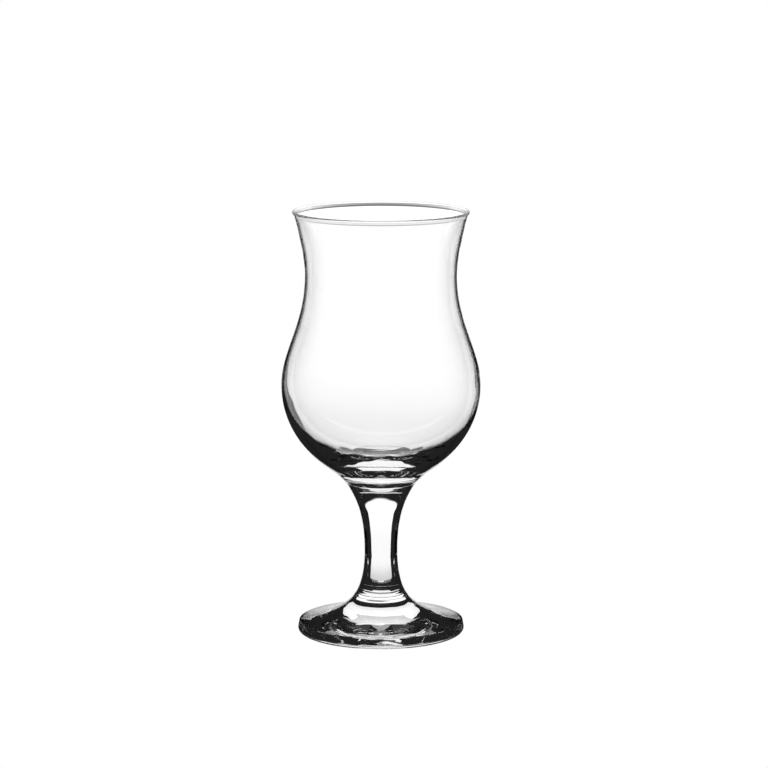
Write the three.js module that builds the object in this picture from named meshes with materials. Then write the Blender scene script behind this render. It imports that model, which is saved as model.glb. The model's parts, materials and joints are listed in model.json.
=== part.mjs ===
// Stemmed cocktail glass with a tulip bowl. It is made of three pieces of clear glass, a blown bowl,
// a pressed stem and a pressed foot, which are fused while hot. The bowl flares at the lip, narrows to
// a waist, swells to a belly and ends in a thick base, so its wall is graded all the way down.
// Millimetres, +Z up. The origin is the middle of the flat ring on which the foot stands.

import * as THREE from 'three';

// Heights above the table
const GLASS_HEIGHT = 175;
const WAIST_HEIGHT = 148;
const BELLY_HEIGHT = 103.6;
const UNDERSIDE_HEIGHT = 68;
const BOWL_WELD_HEIGHT = 62.6;
const STEM_WAIST_HEIGHT = 33.8;
const FOOT_WELD_HEIGHT = 15.2;
const FOOT_RIM_HEIGHT = 4.8;

// Outer radii at those heights
const LIP_RADIUS = 36.15;
const WAIST_RADIUS = 31.15;
const BELLY_RADIUS = 40.9;
const UNDERSIDE_RADIUS = 20.2;
const BOWL_WELD_RADIUS = 14.3;
const STEM_WAIST_RADIUS = 6.8;
const FOOT_WELD_RADIUS = 11;
const FOOT_RADIUS = 34.35;

// Thickness of the bowl, level with the lip, the waist and the belly, and above the weld
const LIP_BEAD = 1.3;
const LIP_WALL = 0.85;
const WAIST_WALL = 0.85;
const BELLY_WALL = 1.15;
const BASE_THICKNESS = 7.2;

// The bead of the lip runs out into the wall this far below the top
const LIP_NECK_DROP = 2.4;

// The foot stands on a flat ring and is slightly dished inside it
const STANDING_RING_WIDTH = 3.2;
const DISH_DEPTH = 0.5;
const FOOT_CORNER = 1.7;
const FOOT_RIM_ROUND = 0.5;

// Where stem and foot are fused, a low ridge of glass stands proud all round
const RIDGE_HEIGHT = 0.15;
const RIDGE_REACH = 1.2;

// Slopes of the outline, in degrees from the axis. Bowl and stem meet in a crease, where their slopes differ
const LIP_FLARE = 13.7;
const UNDERSIDE_SLOPE = 57.3;
const BOWL_WELD_SLOPE = 50;
const STEM_TOP_SLOPE = 30;
const FOOT_WELD_SLOPE = 34.3;
const FOOT_TOP_SLOPE = 83;
const FOOT_SIDE_SLOPE = 10;

// Part of the lip's bead that stands free of the outer wall, in degrees below its widest ring
const BEAD_UNDERCUT = 35;

// How far a curve holds its slope at its two ends, as a share of the straight way between them
const PULL = {
  weldToUnderside: [0.18, 0.19],
  undersideToBelly: [0.36, 0.37],
  bellyToWaist: [0.3, 0.43],
  waistToNeck: [0.31, 0.45],
  neckToBead: [0.3, 0.3],
  beadToInnerWaist: [0.49, 0.31],
  innerWaistToInnerBelly: [0.43, 0.3],
  innerBellyToInnerBase: [0.4, 0.4],
  footWeldToStemWaist: [0.28, 0.38],
  stemWaistToBowlWeld: [0.54, 0.25],
  footRimToFootWeld: [0.55, 0.16],
};

// Facets round the axis, and steps of the outline along each side of the ridge
const AROUND = 64;
const RIDGE_STEPS = 3;

// Points of an outline closer than this are the same point
const SAME_POINT = 1e-6;

// Headings of the outline as it is drawn
const UP = 0;
const DOWN = 180;
const INWARD = 270;

// Angles on an arc, counted from the outward direction
const TOP_ANGLE = 90;
const BOTTOM_ANGLE = -90;

const radians = THREE.MathUtils.degToRad;

// A point of the outline at a radius and a height, with the heading in which the outline passes it
function station(radius, height, heading) {
  const way = new THREE.Vector2(Math.sin(radians(heading)), Math.cos(radians(heading)));
  return { point: new THREE.Vector2(radius, height), way };
}

// A smooth curve from one station to the next that keeps both headings
function flow(from, to, pull) {
  const distance = from.point.distanceTo(to.point);
  const leave = from.point.clone().addScaledVector(from.way, pull[0] * distance);
  const arrive = to.point.clone().addScaledVector(to.way, -pull[1] * distance);
  return new THREE.CubicBezierCurve(from.point, leave, arrive, to.point);
}

// A circular arc between two angles, counted in degrees from the outward direction
function arc(centre, radius, fromAngle, toAngle) {
  const clockwise = toAngle < fromAngle;
  return new THREE.ArcCurve(centre.x, centre.y, radius, radians(fromAngle), radians(toAngle), clockwise);
}

// Joins curves, each with its number of steps, and single points into one outline with no point twice
function outline(...stretches) {
  const points = [];
  for (const stretch of stretches) {
    const added = stretch.isVector2 ? [stretch] : stretch.curve.getPoints(stretch.steps);
    for (const point of added) {
      const last = points.at(-1);
      if (!last || last.distanceTo(point) > SAME_POINT) points.push(point);
    }
  }
  return points;
}

const onAxis = (height) => new THREE.Vector2(0, height);

// Lifts the points near the weld of stem and foot into the low ridge, which fades out along the outline
function raiseRidge(points) {
  return points.map((point) => {
    const share = Math.abs(point.y - FOOT_WELD_HEIGHT) / RIDGE_REACH;
    if (point.x === 0 || share >= 1) return point;
    const lift = RIDGE_HEIGHT * Math.cos((share * Math.PI) / 2) ** 2;
    return new THREE.Vector2(point.x + lift, point.y);
  });
}

// Points along a curve that starts or ends at the weld of stem and foot, with short steps over the ridge
function withRidgeSteps(curve, steps, ridgeAtStart) {
  const ridgeShare = RIDGE_REACH / curve.getLength();
  const shares = [];
  for (let step = 0; step < RIDGE_STEPS; step += 1) {
    shares.push((ridgeShare * step) / RIDGE_STEPS);
  }
  for (let step = 0; step <= steps; step += 1) {
    shares.push(ridgeShare + ((1 - ridgeShare) * step) / steps);
  }
  const points = shares.map((share) => curve.getPointAt(ridgeAtStart ? share : 1 - share));
  return ridgeAtStart ? points : points.reverse();
}

// Revolves an outline, drawn up the outside and down the inside, about the upright axis
function revolve(points) {
  return new THREE.LatheGeometry(points, AROUND).rotateX(Math.PI / 2);
}

function clearGlass() {
  return new THREE.MeshStandardMaterial({
    color: 0xf2f6f5,
    roughness: 0.04,
    metalness: 0,
    transparent: true,
    opacity: 0.35,
  });
}

function piece(name, points) {
  const mesh = new THREE.Mesh(revolve(points), clearGlass());
  mesh.name = name;
  return mesh;
}

// The two welds, where the pieces meet. The stem and the bowl keep slopes of their own at the upper weld
const bowlWeld = station(BOWL_WELD_RADIUS, BOWL_WELD_HEIGHT, UP + BOWL_WELD_SLOPE);
const stemTop = station(BOWL_WELD_RADIUS, BOWL_WELD_HEIGHT, UP + STEM_TOP_SLOPE);
const footWeld = station(FOOT_WELD_RADIUS, FOOT_WELD_HEIGHT, UP - FOOT_WELD_SLOPE);

function bowlOutline() {
  const underside = station(UNDERSIDE_RADIUS, UNDERSIDE_HEIGHT, UP + UNDERSIDE_SLOPE);
  const belly = station(BELLY_RADIUS, BELLY_HEIGHT, UP);
  const waist = station(WAIST_RADIUS, WAIST_HEIGHT, UP);

  const beadRadius = LIP_BEAD / 2;
  const beadCentre = new THREE.Vector2(LIP_RADIUS - beadRadius, GLASS_HEIGHT - beadRadius);
  const beadOutside = arc(beadCentre, beadRadius, -BEAD_UNDERCUT, TOP_ANGLE);
  const beadInside = arc(beadCentre, beadRadius, TOP_ANGLE, 180 - LIP_FLARE);
  const beadStart = { point: beadOutside.getPoint(0), way: beadOutside.getTangent(0) };
  const beadEnd = { point: beadInside.getPoint(1), way: beadInside.getTangent(1) };

  const neckHeight = GLASS_HEIGHT - LIP_NECK_DROP;
  const innerNeckRadius = beadEnd.point.x - (beadEnd.point.y - neckHeight) * Math.tan(radians(LIP_FLARE));
  const neckRadius = innerNeckRadius + LIP_WALL / Math.cos(radians(LIP_FLARE));
  const neck = station(neckRadius, neckHeight, UP + LIP_FLARE);

  const innerWaist = station(WAIST_RADIUS - WAIST_WALL, WAIST_HEIGHT, DOWN);
  const innerBelly = station(BELLY_RADIUS - BELLY_WALL, BELLY_HEIGHT, DOWN);
  const innerBase = station(0, BOWL_WELD_HEIGHT + BASE_THICKNESS, INWARD);

  return outline(
    onAxis(BOWL_WELD_HEIGHT),
    { curve: flow(bowlWeld, underside, PULL.weldToUnderside), steps: 3 },
    { curve: flow(underside, belly, PULL.undersideToBelly), steps: 9 },
    { curve: flow(belly, waist, PULL.bellyToWaist), steps: 9 },
    { curve: flow(waist, neck, PULL.waistToNeck), steps: 6 },
    { curve: flow(neck, beadStart, PULL.neckToBead), steps: 2 },
    { curve: beadOutside, steps: 4 },
    { curve: beadInside, steps: 3 },
    { curve: flow(beadEnd, innerWaist, PULL.beadToInnerWaist), steps: 6 },
    { curve: flow(innerWaist, innerBelly, PULL.innerWaistToInnerBelly), steps: 9 },
    { curve: flow(innerBelly, innerBase, PULL.innerBellyToInnerBase), steps: 11 },
  );
}

function stemOutline() {
  const waist = station(STEM_WAIST_RADIUS, STEM_WAIST_HEIGHT, UP);
  const lower = withRidgeSteps(flow(footWeld, waist, PULL.footWeldToStemWaist), 6, true);
  return outline(
    onAxis(FOOT_WELD_HEIGHT),
    ...raiseRidge(lower),
    { curve: flow(waist, stemTop, PULL.stemWaistToBowlWeld), steps: 8 },
    onAxis(BOWL_WELD_HEIGHT),
  );
}

function footOutline() {
  const cornerCentre = new THREE.Vector2(FOOT_RADIUS - FOOT_CORNER, FOOT_CORNER);
  const corner = arc(cornerCentre, FOOT_CORNER, BOTTOM_ANGLE, FOOT_SIDE_SLOPE);
  const ringRadius = cornerCentre.x - STANDING_RING_WIDTH;

  // The side leans in from the rounded corner to the small round of the rim, and both are tangent to it
  const cornerEnd = corner.getPoint(1);
  const rimCentreHeight = FOOT_RIM_HEIGHT - FOOT_RIM_ROUND;
  const rise = rimCentreHeight + FOOT_RIM_ROUND * Math.sin(radians(FOOT_SIDE_SLOPE)) - cornerEnd.y;
  const rimSideRadius = cornerEnd.x - rise * Math.tan(radians(FOOT_SIDE_SLOPE));
  const rimCentreRadius = rimSideRadius - FOOT_RIM_ROUND * Math.cos(radians(FOOT_SIDE_SLOPE));
  const rimCentre = new THREE.Vector2(rimCentreRadius, rimCentreHeight);
  const rim = arc(rimCentre, FOOT_RIM_ROUND, FOOT_SIDE_SLOPE, FOOT_TOP_SLOPE);
  const rimEnd = { point: rim.getPoint(1), way: rim.getTangent(1) };

  // The dish is part of a sphere that is level in the middle
  const dishSphere = (ringRadius ** 2 + DISH_DEPTH ** 2) / (2 * DISH_DEPTH);
  const dishCentre = onAxis(DISH_DEPTH - dishSphere);
  const dishHalfAngle = THREE.MathUtils.radToDeg(Math.asin(ringRadius / dishSphere));
  const dish = arc(dishCentre, dishSphere, TOP_ANGLE, TOP_ANGLE - dishHalfAngle);

  const top = withRidgeSteps(flow(rimEnd, footWeld, PULL.footRimToFootWeld), 9, false);
  return outline(
    onAxis(DISH_DEPTH),
    { curve: dish, steps: 4 },
    { curve: corner, steps: 6 },
    { curve: rim, steps: 3 },
    ...raiseRidge(top),
    onAxis(FOOT_WELD_HEIGHT),
  );
}

const glass = new THREE.Group();
glass.add(piece('bowl', bowlOutline()));
glass.add(piece('stem', stemOutline()));
glass.add(piece('foot', footOutline()));

export default glass;
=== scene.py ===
# %% [markdown]
# # A stemmed cocktail glass in clear glass
# This lesson dresses a finished CAD model of a cocktail glass for a studio picture. The CAD model
# says where each piece is and how large it is, and every surface below grows from those sizes.
# The glass is three pieces that were fused while hot: a blown bowl, a pressed stem and a pressed
# foot.

# %% Load the frame
import json

import bpy
import numpy as np
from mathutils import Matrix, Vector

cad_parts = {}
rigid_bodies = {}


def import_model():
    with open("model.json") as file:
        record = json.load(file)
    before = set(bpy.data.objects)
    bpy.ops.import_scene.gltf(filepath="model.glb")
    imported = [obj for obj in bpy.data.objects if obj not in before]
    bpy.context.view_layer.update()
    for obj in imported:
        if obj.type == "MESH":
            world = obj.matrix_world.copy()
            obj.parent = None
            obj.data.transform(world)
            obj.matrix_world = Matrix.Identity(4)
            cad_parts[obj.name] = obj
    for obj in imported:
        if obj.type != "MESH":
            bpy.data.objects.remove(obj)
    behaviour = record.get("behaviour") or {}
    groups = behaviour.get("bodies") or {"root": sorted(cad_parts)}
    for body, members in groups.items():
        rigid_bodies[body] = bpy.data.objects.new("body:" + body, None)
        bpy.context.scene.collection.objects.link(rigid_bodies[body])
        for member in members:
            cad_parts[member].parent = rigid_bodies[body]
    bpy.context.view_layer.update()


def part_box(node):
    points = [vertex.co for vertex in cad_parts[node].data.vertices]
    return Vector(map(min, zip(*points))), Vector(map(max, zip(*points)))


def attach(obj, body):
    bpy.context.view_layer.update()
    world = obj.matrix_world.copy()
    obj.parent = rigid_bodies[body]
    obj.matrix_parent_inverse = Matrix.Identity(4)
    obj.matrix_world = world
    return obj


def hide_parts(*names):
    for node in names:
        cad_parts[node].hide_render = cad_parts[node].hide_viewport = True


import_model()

# %% [markdown]
# ## Sizes
# The outer sizes come from the boxes of the CAD nodes, so this script follows the CAD model. The
# rest are the sizes that a glass maker would write on a drawing and that a box can't show: walls,
# slopes and the turn under the bowl. Everything is in metres, because that is what the frame uses.

# %% Sizes of the three pieces
MM = 0.001
bowl_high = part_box("bowl")[1]
stem_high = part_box("stem")[1]
foot_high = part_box("foot")[1]

glass_height, belly_radius = bowl_high.z, bowl_high.x
bowl_weld_height, bowl_weld_radius = stem_high.z, stem_high.x
foot_weld_height, foot_radius = foot_high.z, foot_high.x

lip_radius, lip_bead, lip_wall, lip_neck_drop = 36.15 * MM, 1.3 * MM, 0.85 * MM, 2.4 * MM
waist_radius, waist_height, waist_wall = 31.15 * MM, 148 * MM, 0.85 * MM
belly_height, belly_wall = 103.6 * MM, 1.15 * MM
underside_radius, underside_height = 20.2 * MM, 68 * MM
base_thickness = 7.2 * MM
stem_waist_radius, stem_waist_height = 6.8 * MM, 33.8 * MM
foot_weld_radius = 11 * MM
foot_rim_height, foot_rim_round, foot_corner = 4.8 * MM, 0.5 * MM, 1.7 * MM
standing_ring_width, dish_depth = 3.2 * MM, 0.5 * MM
ridge_height, ridge_reach = 0.15 * MM, 1.2 * MM

# Slopes in degrees from the axis
lip_flare, underside_slope, bowl_weld_slope, stem_top_slope = 13.7, 57.3, 50, 30
foot_weld_slope, foot_top_slope, foot_side_slope, bead_undercut = 34.3, 83, 10, 35
print("height", round(glass_height / MM, 2), "belly radius", round(belly_radius / MM, 2), "mm")

# %% [markdown]
# ## Drawing an outline
# A round shape needs one good outline. It could be traced point by point, but then a change of
# size would mean tracing it again. Here the outline is a chain of cubic curves between a few
# stations. Each station has a radius, a height and a heading, and a curve keeps the heading of
# both its ends, so the chain is smooth.

# %% Curves of the outline
UP, DOWN, INWARD = 0, 180, 270
SAME_POINT = 1e-3 * MM


def way(heading):
    """Unit vector (outward, up) of a heading in degrees: 0 climbs, 90 runs outward, 180 falls and
    270 runs inward."""
    turn = np.radians(heading)
    return np.array([np.sin(turn), np.cos(turn)])


def flow(start, end, pull, steps):
    """Cubic Bezier curve between two stations (radius, height, heading): each inner control point
    lies along the heading of its end, at a pull that is a share of the straight distance."""
    a, b = np.array(start[:2]), np.array(end[:2])
    reach = np.linalg.norm(b - a)
    c = a + pull[0] * reach * way(start[2])
    d = b - pull[1] * reach * way(end[2])
    t = np.linspace(0, 1, steps + 1)[:, None]
    return (1 - t) ** 3 * a + 3 * (1 - t) ** 2 * t * c + 3 * (1 - t) * t**2 * d + t**3 * b


def arc(centre, radius, start, end, steps):
    """Circle arc: centre plus radius times (cos, sin) of an angle that runs evenly from start to
    end in degrees."""
    angle = np.radians(np.linspace(start, end, steps + 1))
    return np.array(centre) + radius * np.stack([np.cos(angle), np.sin(angle)], axis=1)


def chain(*stretches):
    """Joins stretches into one outline and drops points that repeat their neighbour."""
    points = np.concatenate([np.atleast_2d(s) for s in stretches])
    step = np.linalg.norm(np.diff(points, axis=0), axis=1)
    return points[np.concatenate([[True], step > SAME_POINT])]


# %% [markdown]
# ## Outline of the bowl
# The bowl is blown, so its wall is thin where the bubble was stretched, at the waist, and thick in
# the base where the gob was. A Solidify modifier would give one even wall and a dull base. Drawing
# the inside as its own curve grades the wall, and it is this grading that makes the dark crescent
# low in the bowl.

# %% Draw the bowl
bowl_weld = (bowl_weld_radius, bowl_weld_height, UP + bowl_weld_slope)

# Pulls of the curves at their two ends, up the outside and down the inside
weld_pull, underside_pull, belly_pull = (0.18, 0.19), (0.36, 0.37), (0.30, 0.43)
waist_pull, neck_pull = (0.31, 0.45), (0.3, 0.3)
inner_lip_pull, inner_waist_pull, inner_belly_pull = (0.49, 0.31), (0.43, 0.30), (0.40, 0.40)


def bowl_outline():
    """Up the outside from the weld to the lip, over the bead of the lip, and down the inside to
    the base."""
    underside = (underside_radius, underside_height, UP + underside_slope)
    belly = (belly_radius, belly_height, UP)
    waist = (waist_radius, waist_height, UP)
    bead = lip_bead / 2
    bead_centre = (lip_radius - bead, glass_height - bead)
    over_the_lip = arc(bead_centre, bead, -bead_undercut, 180 - lip_flare, steps=40)
    bead_start = (*over_the_lip[0], UP + bead_undercut)
    bead_end = (*over_the_lip[-1], DOWN + lip_flare)
    neck_height = glass_height - lip_neck_drop
    flare = np.radians(lip_flare)
    inner_neck_radius = bead_end[0] - (bead_end[1] - neck_height) * np.tan(flare)
    neck = (inner_neck_radius + lip_wall / np.cos(flare), neck_height, UP + lip_flare)
    inner_waist = (waist_radius - waist_wall, waist_height, DOWN)
    inner_belly = (belly_radius - belly_wall, belly_height, DOWN)
    inner_base = (0, bowl_weld_height + base_thickness, INWARD)
    return chain(
        (0, bowl_weld_height),
        flow(bowl_weld, underside, weld_pull, steps=20),
        flow(underside, belly, underside_pull, steps=60),
        flow(belly, waist, belly_pull, steps=50),
        flow(waist, neck, waist_pull, steps=34),
        flow(neck, bead_start, neck_pull, steps=12),
        over_the_lip,
        flow(bead_end, inner_waist, inner_lip_pull, steps=40),
        flow(inner_waist, inner_belly, inner_waist_pull, steps=50),
        flow(inner_belly, inner_base, inner_belly_pull, steps=70),
    )


bowl_profile = bowl_outline()
print("bowl outline:", len(bowl_profile), "points")

# %% [markdown]
# ## An uneven wall
# A bubble of hot glass sags a little while it is blown, so no bowl is equally thick all round. In
# the photograph the dark band low in the bowl is wider on the left. Here the inside is pushed out
# towards the right below the belly, by less than a millimetre, while the outside stays round.

# %% Push of the inside
thin_side = 0.7 * MM
uneven_from, uneven_full = 106 * MM, 86 * MM


def inside_push(profile):
    """Sideways push of each outline point: none on the outside and above the belly, then growing
    smoothly to its full amount low in the bowl, by three times the squared depth less twice its
    cube."""
    depth = np.clip((uneven_from - profile[:, 1]) / (uneven_from - uneven_full), 0, 1)
    inside = np.arange(len(profile)) > np.argmax(profile[:, 1])
    return np.where(inside, thin_side * depth**2 * (3 - 2 * depth), 0)


bowl_push = inside_push(bowl_profile)
print("inside pushed out on one side by", round(bowl_push.max() / MM, 2), "mm")

# %% [markdown]
# ## Outlines of the stem and the foot
# The stem is a solid rod of glass that was pressed and drawn in to a waist. The foot is a pressed
# disc: a hollow cone on top, a drafted edge, a flat ring to stand on and a shallow dish inside
# that ring. Where stem and foot were fused, a low ridge of glass stayed proud. It is far too small
# to see as a shape, yet it bends the light and draws fine dark rings round the root of the stem,
# so it is added to both outlines.

# %% Draw the stem and the foot
foot_weld = (foot_weld_radius, foot_weld_height, UP - foot_weld_slope)
stem_root_pull, stem_top_pull, foot_cone_pull = (0.28, 0.38), (0.54, 0.25), (0.55, 0.16)


def with_ridge(points):
    """Adds to each radius the ridge height times the squared cosine of the distance from the weld,
    out to its reach."""
    share = np.clip(np.abs(points[:, 1] - foot_weld_height) / ridge_reach, 0, 1)
    lift = np.where(share < 1, ridge_height * np.cos(share * np.pi / 2) ** 2, 0)
    return points + np.stack([lift, np.zeros_like(lift)], axis=1)


def stem_outline():
    """Up the outside from the weld on the foot, through the waist, to the weld under the bowl."""
    waist = (stem_waist_radius, stem_waist_height, UP)
    top = (bowl_weld_radius, bowl_weld_height, UP + stem_top_slope)
    return chain(
        (0, foot_weld_height),
        with_ridge(flow(foot_weld, waist, stem_root_pull, steps=90)),
        flow(waist, top, stem_top_pull, steps=60),
        (0, bowl_weld_height),
    )


def foot_outline():
    """Out under the dish, over the standing ring and the rounded corner, up the edge, and in along
    the cone. The dish is a cap of a sphere, whose radius is the squared ring radius plus the
    squared depth, over twice the depth."""
    corner_centre = np.array([foot_radius - foot_corner, foot_corner])
    corner = arc(corner_centre, foot_corner, -90, foot_side_slope, steps=24)
    ring_radius = corner_centre[0] - standing_ring_width
    side = np.radians(foot_side_slope)
    rim_height = foot_rim_height - foot_rim_round
    rise = rim_height + foot_rim_round * np.sin(side) - corner[-1][1]
    rim_radius = corner[-1][0] - rise * np.tan(side) - foot_rim_round * np.cos(side)
    rim_centre = (rim_radius, rim_height)
    rim = arc(rim_centre, foot_rim_round, foot_side_slope, foot_top_slope, steps=14)
    rim_end = (*rim[-1], INWARD + 90 - foot_top_slope)
    sphere = (ring_radius**2 + dish_depth**2) / (2 * dish_depth)
    opening = np.degrees(np.arcsin(ring_radius / sphere))
    return chain(
        arc((0, dish_depth - sphere), sphere, 90, 90 - opening, steps=40),
        corner,
        rim,
        with_ridge(flow(rim_end, foot_weld, foot_cone_pull, steps=140)),
        (0, foot_weld_height),
    )


stem_profile, foot_profile = stem_outline(), foot_outline()
print("stem outline:", len(stem_profile), "points; foot outline:", len(foot_profile), "points")

# %% [markdown]
# ## From outline to solid
# Blender's Spin tool could turn the outline. Working the points out with numpy keeps the place of
# every face in the list known, and the weld faces are picked by that place later. Radius and
# height come from the outline, the angle from an even fan, and the two ends of the outline become
# single points on the axis. Glass shows every fault of its surface, so the steps are fine.

# %% Revolve the outlines
AROUND = 224


def revolve(name, profile, push=0):
    """Surface of revolution: x = r cos a + p (1 + cos a) / 2, y = r sin a, z = h for each outline
    point (r, h), its push p and each angle a of an even fan. The first and last outline points lie
    on the axis and are the tips of two fans of triangles."""
    angle = np.arange(AROUND) * (2 * np.pi / AROUND)
    push = np.broadcast_to(push, len(profile))
    radius, height = profile[1:-1].T
    x = np.outer(radius, np.cos(angle)) + np.outer(push[1:-1], (1 + np.cos(angle)) / 2)
    y = np.outer(radius, np.sin(angle))
    z = np.repeat(height[:, None], AROUND, 1)
    rings = np.stack([x, y, z], axis=-1).reshape(-1, 3)
    tips = np.array([[push[end] / 2, 0, profile[end, 1]] for end in (0, -1)])
    here = np.arange(AROUND)
    beside = (here + 1) % AROUND
    low = np.arange(len(radius) - 1)[:, None] * AROUND
    high = low + AROUND
    quads = np.stack([low + here, low + beside, high + beside, high + here], axis=-1)
    last = (len(radius) - 1) * AROUND
    low_tip, high_tip = np.full(AROUND, len(rings)), np.full(AROUND, len(rings) + 1)
    low_fan = np.stack([low_tip, beside, here], axis=-1)
    high_fan = np.stack([last + here, last + beside, high_tip], axis=-1)
    faces = low_fan.tolist() + quads.reshape(-1, 4).tolist() + high_fan.tolist()
    mesh = bpy.data.meshes.new(name)
    mesh.from_pydata(np.concatenate([rings, tips]).tolist(), [], faces)
    piece = bpy.data.objects.new(name, mesh)
    bpy.context.collection.objects.link(piece)
    print(name, len(mesh.vertices), "points", len(mesh.polygons), "faces")
    return piece


bowl = revolve("tulip_bowl", bowl_profile, bowl_push)
stem = revolve("waisted_stem", stem_profile)
foot = revolve("round_foot", foot_profile)

# %% [markdown]
# ## Two helpers for materials
# A material in Blender is a network of nodes. It could be drawn by hand in the shader editor, but
# then this file couldn't make it again. Two small steps come back in several materials below, a
# smooth change from one number to another and two values made into one, so each is written once.

# %% Fade and combine


def fade(tree, value, start, end, first, last):
    """Output that runs smoothly from a first to a last number while a value runs from start to
    end, and stays level before and after."""
    node = tree.nodes.new("ShaderNodeMapRange")
    node.interpolation_type = "SMOOTHSTEP"
    tree.links.new(value, node.inputs["Value"])
    sockets = ("From Min", "From Max", "To Min", "To Max")
    for socket, number in zip(sockets, (start, end, first, last)):
        node.inputs[socket].default_value = number
    return node.outputs["Result"]


def combine(tree, operation, a, b):
    """Output that combines two values by an operation such as MULTIPLY or MAXIMUM."""
    node = tree.nodes.new("ShaderNodeMath")
    node.operation = operation
    tree.links.new(a, node.inputs[0])
    tree.links.new(b, node.inputs[1])
    return node.outputs[0]


# %% [markdown]
# ## Clear glass
# The glass is colourless, so almost all of its look is light bent and mirrored by its surfaces,
# and a Principled shader with full transmission does that. What tells real glass from a perfect
# shape is small: the chill of the mould leaves slow waves in the pressed stem, foot and base,
# fingers leave a trace of haze, and the ring on which the glass stands is scuffed. A painted
# texture could carry these, but noise on object coordinates has no seams.

# %% Make the glass
glass_index = 1.52
wave_height, wave_scale, wave_detail = 0.15 * MM, 110, 1
wavy_below, calm_above, calm_share = 66 * MM, 100 * MM, 0.12
haze_scale, haze_detail, haze_from, haze_full, haze_roughness = 60, 4, 0.52, 0.75, 0.02
scuff_scale, scuff_detail, scuff_from, scuff_full, scuff_roughness = 900, 3, 0.62, 0.74, 0.2
scuffed_below, clean_above = 0.05 * MM, 0.25 * MM


def clear_glass():
    """Principled glass with slow waves low down, a faint haze and a scuffed standing ring."""
    material = bpy.data.materials.new("clear_glass")
    material.use_nodes = True
    tree = material.node_tree
    shader = tree.nodes["Principled BSDF"]
    shader.inputs["Base Color"].default_value = (1, 1, 1, 1)
    shader.inputs["Transmission Weight"].default_value = 1
    shader.inputs["IOR"].default_value = glass_index
    place = tree.nodes.new("ShaderNodeTexCoord").outputs["Object"]
    split = tree.nodes.new("ShaderNodeSeparateXYZ")
    tree.links.new(place, split.inputs[0])
    height = split.outputs["Z"]

    def noise(scale, detail):
        texture = tree.nodes.new("ShaderNodeTexNoise")
        texture.inputs["Scale"].default_value = scale
        texture.inputs["Detail"].default_value = detail
        tree.links.new(place, texture.inputs["Vector"])
        return texture.outputs["Fac"]

    waves = tree.nodes.new("ShaderNodeBump")
    waves.inputs["Distance"].default_value = wave_height
    tree.links.new(noise(wave_scale, wave_detail), waves.inputs["Height"])
    strength = fade(tree, height, wavy_below, calm_above, 1, calm_share)
    tree.links.new(strength, waves.inputs["Strength"])
    tree.links.new(waves.outputs["Normal"], shader.inputs["Normal"])

    haze_noise, scuff_noise = noise(haze_scale, haze_detail), noise(scuff_scale, scuff_detail)
    haze = fade(tree, haze_noise, haze_from, haze_full, 0, haze_roughness)
    scuffs = fade(tree, scuff_noise, scuff_from, scuff_full, 0, scuff_roughness)
    ring = fade(tree, height, scuffed_below, clean_above, 1, 0)
    roughness = combine(tree, "MAXIMUM", haze, combine(tree, "MULTIPLY", ring, scuffs))
    tree.links.new(roughness, shader.inputs["Roughness"])
    return material


glass_finish = clear_glass()
print("glass finish:", len(glass_finish.node_tree.nodes), "nodes")

# %% [markdown]
# ## Fused faces
# Where two pieces were fused, the real glass has no surface any more. Each mesh still has a flat
# cap there. The caps could be deleted, but that would leave open meshes, so they get a finish that
# lets light pass straight through.

# %% Finish the three pieces


def fused_face():
    """Inner face of a weld, which light passes as if nothing were there."""
    material = bpy.data.materials.new("fused_face")
    material.use_nodes = True
    tree = material.node_tree
    tree.nodes.remove(tree.nodes["Principled BSDF"])
    clear = tree.nodes.new("ShaderNodeBsdfTransparent")
    tree.links.new(clear.outputs[0], tree.nodes["Material Output"].inputs["Surface"])
    return material


weld_finish = fused_face()
for piece, welds in ((bowl, ("low",)), (stem, ("low", "high")), (foot, ("high",))):
    piece.data.materials.append(glass_finish)
    piece.data.materials.append(weld_finish)
    fused = np.zeros(len(piece.data.polygons), dtype=bool)
    fused[:AROUND] = "low" in welds
    fused[-AROUND:] = "high" in welds
    piece.data.polygons.foreach_set("material_index", fused.astype(np.int32))
    piece.data.polygons.foreach_set("use_smooth", ~fused)
    piece.data.update()
    print(piece.name, fused.sum(), "fused faces")

# %% [markdown]
# ## Riding on the frame
# The frame's one rigid body carries all three pieces, because nothing on a glass moves. Each piece
# stands in for its CAD node, so the render and the export show it and not the coarser solid.

# %% Tie the pieces to the frame
for piece, node in ((bowl, "bowl"), (stem, "stem"), (foot, "foot")):
    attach(piece, "root")
    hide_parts(node)
    print(piece.name, "stands in for", node)

# %% [markdown]
# ## Camera
# The photograph was taken with a long lens from a little above the lip. One pinhole camera was
# fitted to the outline, the ellipse of the lip and the ellipse of the foot, and these are its
# place, tilt and lens.

# %% Camera
lens_mm, sensor_mm, look_down = 152.12, 36, 9.644
camera_place = (1.25 * MM, -1.3122, 0.3265)
camera_data = bpy.data.cameras.new("camera")
camera_data.lens = lens_mm
camera_data.sensor_width = sensor_mm
camera = bpy.data.objects.new("camera", camera_data)
camera.location = camera_place
camera.rotation_euler = (np.radians(90 - look_down), 0, 0)
bpy.context.collection.objects.link(camera)
bpy.context.scene.camera = camera
print("camera", round(camera.location.length, 2), "m away, looking down by", look_down, "degrees")

# %% [markdown]
# ## Cards for a bright field
# Clear glass shows only what it bends into view, so a studio lights the ground behind it and keeps
# the rest dark. Then the middle of the glass is white, and its edges, which bend in the dark from
# the sides, are black lines. Area lamps could do it, but a card that glows by itself has exact
# edges and little noise. The glass sees the cards and the camera doesn't.

# %% Cards and their glow


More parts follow.
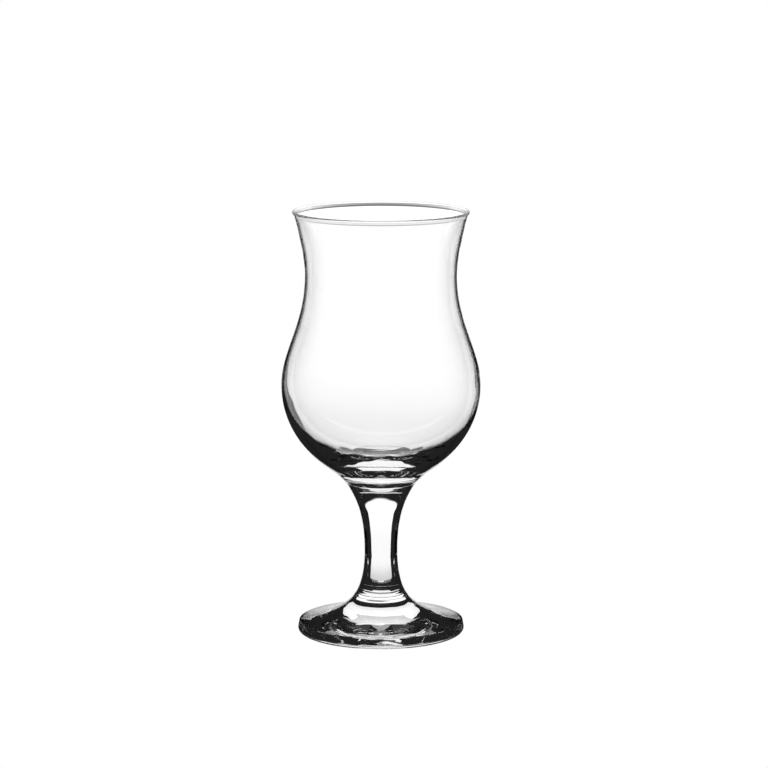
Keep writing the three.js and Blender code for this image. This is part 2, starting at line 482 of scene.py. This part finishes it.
def glow(name, strength):
    """Material of a card that shines evenly by itself."""
    material = bpy.data.materials.new(name)
    material.use_nodes = True
    tree = material.node_tree
    tree.nodes.remove(tree.nodes["Principled BSDF"])
    light = tree.nodes.new("ShaderNodeEmission")
    light.name = "light"
    light.inputs["Strength"].default_value = strength
    tree.links.new(light.outputs[0], tree.nodes["Material Output"].inputs["Surface"])
    material.cycles.emission_sampling = "NONE"
    return material


def card(name, corners, strength=1, faces=None):
    """Card between corners given in millimetres, one face unless faces are named, hidden from the
    camera."""
    points = np.array(corners, dtype=float) * MM
    mesh = bpy.data.meshes.new(name)
    mesh.from_pydata(points.tolist(), [], faces or [tuple(range(len(corners)))])
    mesh.materials.append(glow(name, strength))
    sheet = bpy.data.objects.new(name, mesh)
    bpy.context.collection.objects.link(sheet)
    sheet.visible_camera = False
    return sheet


def upright(reach, back, low, high):
    """Corners of an upright card across the view, with the same reach to both sides."""
    return [(-reach, back, low), (reach, back, low), (reach, back, high), (-reach, back, high)]


def flat(near_reach, far_reach, near, far, level):
    """Corners of a level card, with one reach to both sides at its near edge and another at its
    far edge."""
    near_edge = [(-near_reach, near, level), (near_reach, near, level)]
    return near_edge + [(far_reach, far, level), (-far_reach, far, level)]


# %% [markdown]
# ## Soft edges of the light
# A real backdrop is never even: it falls off at its ends. Smaller cards could build this up in
# steps. A gradient on one card does it smoothly, so the white in the glass fades as it does in the
# photograph and doesn't stop at a line.

# %% Gradients on a card


def ramp(sheet, axis, start, end, first, last):
    """Output that runs smoothly from a first to a last value while a place on the card runs from
    start to end, in millimetres: X from the card's middle to both sides, Z up the card, or height
    above the table."""
    tree = sheet.data.materials[0].node_tree
    if axis == "height":
        place = tree.nodes.new("ShaderNodeNewGeometry").outputs["Position"]
    else:
        place = tree.nodes.new("ShaderNodeTexCoord").outputs["Object"]
    split = tree.nodes.new("ShaderNodeSeparateXYZ")
    tree.links.new(place, split.inputs[0])
    value = split.outputs["Z"]
    if axis == "X":
        distance = tree.nodes.new("ShaderNodeMath")
        distance.operation = "ABSOLUTE"
        tree.links.new(split.outputs["X"], distance.inputs[0])
        value = distance.outputs[0]
    return fade(tree, value, start * MM, end * MM, first, last)


def shine(sheet, *outputs):
    """Sets the glow of a card to the product of the given outputs."""
    tree = sheet.data.materials[0].node_tree
    total = outputs[0]
    for other in outputs[1:]:
        total = combine(tree, "MULTIPLY", total, other)
    tree.links.new(total, tree.nodes["light"].inputs["Strength"])


# %% [markdown]
# ## The wall behind the glass
# The bowl is seen against a white wall. Its top fades out just above the lip: the thick lip bends
# the dark above the wall into view, and so the rim shows as thin gray lines. A small card over the
# lip keeps these lines from turning black, and a dim one high up gives the gray light deep in the
# foot. The heights of these three cards count from the lip, because they will hang there.

# %% Wall and cards above
DARK, GRAY, SOFT_WHITE, WHITE, BRIGHT = 0.015, 0.4, 0.95, 1.05, 1.25
wall_back, wall_top, lip_card_back = 224, 24, 34
wall_side_share, lip_card_foot = 0.87, 0.2
wall = card("white_wall", upright(reach=500, back=wall_back, low=-700, high=wall_top))
shine(
    wall,
    ramp(wall, "height", start=0, end=92, first=WHITE, last=BRIGHT),
    ramp(wall, "Z", start=0, end=wall_top, first=1, last=DARK),
    ramp(wall, "X", start=90, end=150, first=1, last=wall_side_share),
)
lip_card = card("lip_card", upright(reach=110, back=lip_card_back, low=-2, high=66))
shine(lip_card, ramp(lip_card, "Z", start=0, end=8, first=lip_card_foot, last=SOFT_WHITE))
high_card = card("high_card", upright(reach=80, back=wall_back, low=106, high=700), GRAY)
upper_cards = [wall, lip_card, high_card]
print("upper cards:", [sheet.name for sheet in upper_cards])

# %% [markdown]
# ## Black flags at the sides
# Without black beside it, a glass on white has no outline at all. Two flags stand behind the glass,
# left and right. Their inner edges could be straight, but here they follow the glass: near each
# other beside the stem, apart at the belly, nearer again at the waist and apart at the lip. That
# makes the outline darker at the waist and narrower at the belly. A second, lower pair just behind
# the foot keeps its sides black. It fades at its lower edge, for a lighter far rim of the foot.

# %% Flags
FAR, ON_TABLE = 3000, -0.2
tall_back, low_back = 105, 42

# Outlines as (distance from the middle, height)
tall_edge = [(57, FAR), (57, 160), (51, 140), (51, 116), (58, 100), (58, 86), (48, 68)]
tall_outline = [(FAR, ON_TABLE), (FAR, FAR)] + tall_edge + [(48, ON_TABLE)]
notch_side, notch_top = 34.5, 8
low_notch = [(28, notch_top), (notch_side, notch_top), (notch_side, ON_TABLE)]
low_outline = low_notch + [(90, ON_TABLE), (90, 40), (28, 40)]


def flag(name, side, outline, back):
    """Black card on one side of the glass, -1 for the left and 1 for the right."""
    return card(name, [(side * x, back, z) for x, z in outline], DARK)


flags = []
for name, side in (("left", -1), ("right", 1)):
    tall = flag(name + "_flag", side, tall_outline, tall_back)
    low = flag(name + "_low_flag", side, low_outline, low_back)
    shine(
        low,
        ramp(low, "Z", start=notch_top, end=15, first=1, last=DARK),
        ramp(low, "X", start=33, end=36, first=1, last=DARK),
    )
    flags += [tall, low]
print("flags:", [sheet.name for sheet in flags])

# %% [markdown]
# ## Light from the table
# The lower bowl and the stem look down at the table, so a white strip lies there behind the glass
# and the rest of the table is dark. Two very small cards, one standing over the back of the foot
# and one under it, fill the root of the stem and the bell of the foot with light. The room all
# round is nearly black.

# %% Table and room
table_level, stem_card_top, stem_card_foot = -0.3, 26, 0.72
dark_table = card("dark_table", flat(FAR, FAR, -FAR, FAR, table_level), DARK)

# Right edge of the strip as (distance from the middle, distance behind the axis)
strip_edge = [(8, 37), (30.5, 75), (166, 330)]
strip = [(x, y, ON_TABLE) for x, y in strip_edge]
strip += [(-x, y, ON_TABLE) for x, y in reversed(strip_edge)]
table_light = card("table_light", strip, WHITE)

stem_card = card("stem_card", upright(reach=4.6, back=18, low=11.5, high=stem_card_top))
stem_fade = ramp(stem_card, "Z", start=12, end=stem_card_top, first=stem_card_foot, last=WHITE)
shine(stem_card, stem_fade)
foot_corners = flat(near_reach=1.4, far_reach=2.4, near=20, far=28, level=ON_TABLE)
foot_card = card("foot_card", foot_corners, SOFT_WHITE)
table_cards = [dark_table, table_light, stem_card, foot_card]

room = [(x, y, z) for x in (-FAR, FAR) for y in (-FAR, FAR) for z in (-FAR, FAR)]
room_sides = [(0, 1, 3, 2), (4, 6, 7, 5)]
room_front, room_back, room_top = (0, 4, 5, 1), (2, 3, 7, 6), (1, 5, 7, 3)
card("dark_room", room, DARK, room_sides + [room_front, room_back, room_top])
print("table cards:", [sheet.name for sheet in table_cards])

# %% [markdown]
# ## A set on a turntable
# To show other sides of a glass, a photographer turns the glass and leaves the set where it is,
# behind the glass as the camera sees it. Here the glass has to stay on its frame, so the set stands
# on a turntable that keeps facing the camera, and the light differs from view to view. The same set
# standing still leaves the glass nearly black from the side and from behind. The wall and the cards
# above it also tilt, about the far side of the lip, so they end just above the rim whether the
# camera looks from high or low.

# %% Turn the set to the camera
far_lip = (0, 35.8 * MM, 178.1 * MM)
turntable = bpy.data.objects.new("turntable", None)
bpy.context.collection.objects.link(turntable)
turn = turntable.constraints.new("LOCKED_TRACK")
turn.target, turn.track_axis, turn.lock_axis = camera, "TRACK_NEGATIVE_Y", "LOCK_Z"
for sheet in flags + table_cards + upper_cards:
    sheet.parent = turntable
for sheet in upper_cards:
    sheet.location = far_lip
    tilt = sheet.constraints.new("TRACK_TO")
    tilt.target, tilt.track_axis, tilt.up_axis = camera, "TRACK_NEGATIVE_Y", "UP_Z"
print(len(turntable.children), "cards on the turntable")

# %% [markdown]
# ## White paper
# The photograph's ground is pure white without a shadow. A lit white floor would show a shadow. A
# floor and a world that glow white by themselves don't, and only the camera sees them, so they
# don't wash out the black edges. A light path can cross many glass faces, and one that is cut short
# shows black, so the number of bounces is raised.

# %% Paper and bounces
paper_reach, paper_level, bounces = 6000, -0.4, 24
paper = flat(paper_reach, paper_reach, -paper_reach, paper_reach, paper_level)
floor = card("pale_floor", paper)
floor.visible_camera = True
floor.visible_transmission = floor.visible_glossy = False
floor.visible_diffuse = floor.visible_shadow = False

scene = bpy.context.scene
scene.world = bpy.data.worlds.new("paper")
scene.world.use_nodes = True
scene.world.node_tree.nodes["Background"].inputs["Color"].default_value = (1, 1, 1, 1)
seen = scene.world.cycles_visibility
seen.diffuse = seen.glossy = seen.transmission = seen.scatter = False
scene.view_settings.view_transform = "Standard"
scene.cycles.max_bounces = scene.cycles.transparent_max_bounces = bounces
scene.cycles.transmission_bounces = scene.cycles.glossy_bounces = bounces
print("light paths of up to", bounces, "bounces")
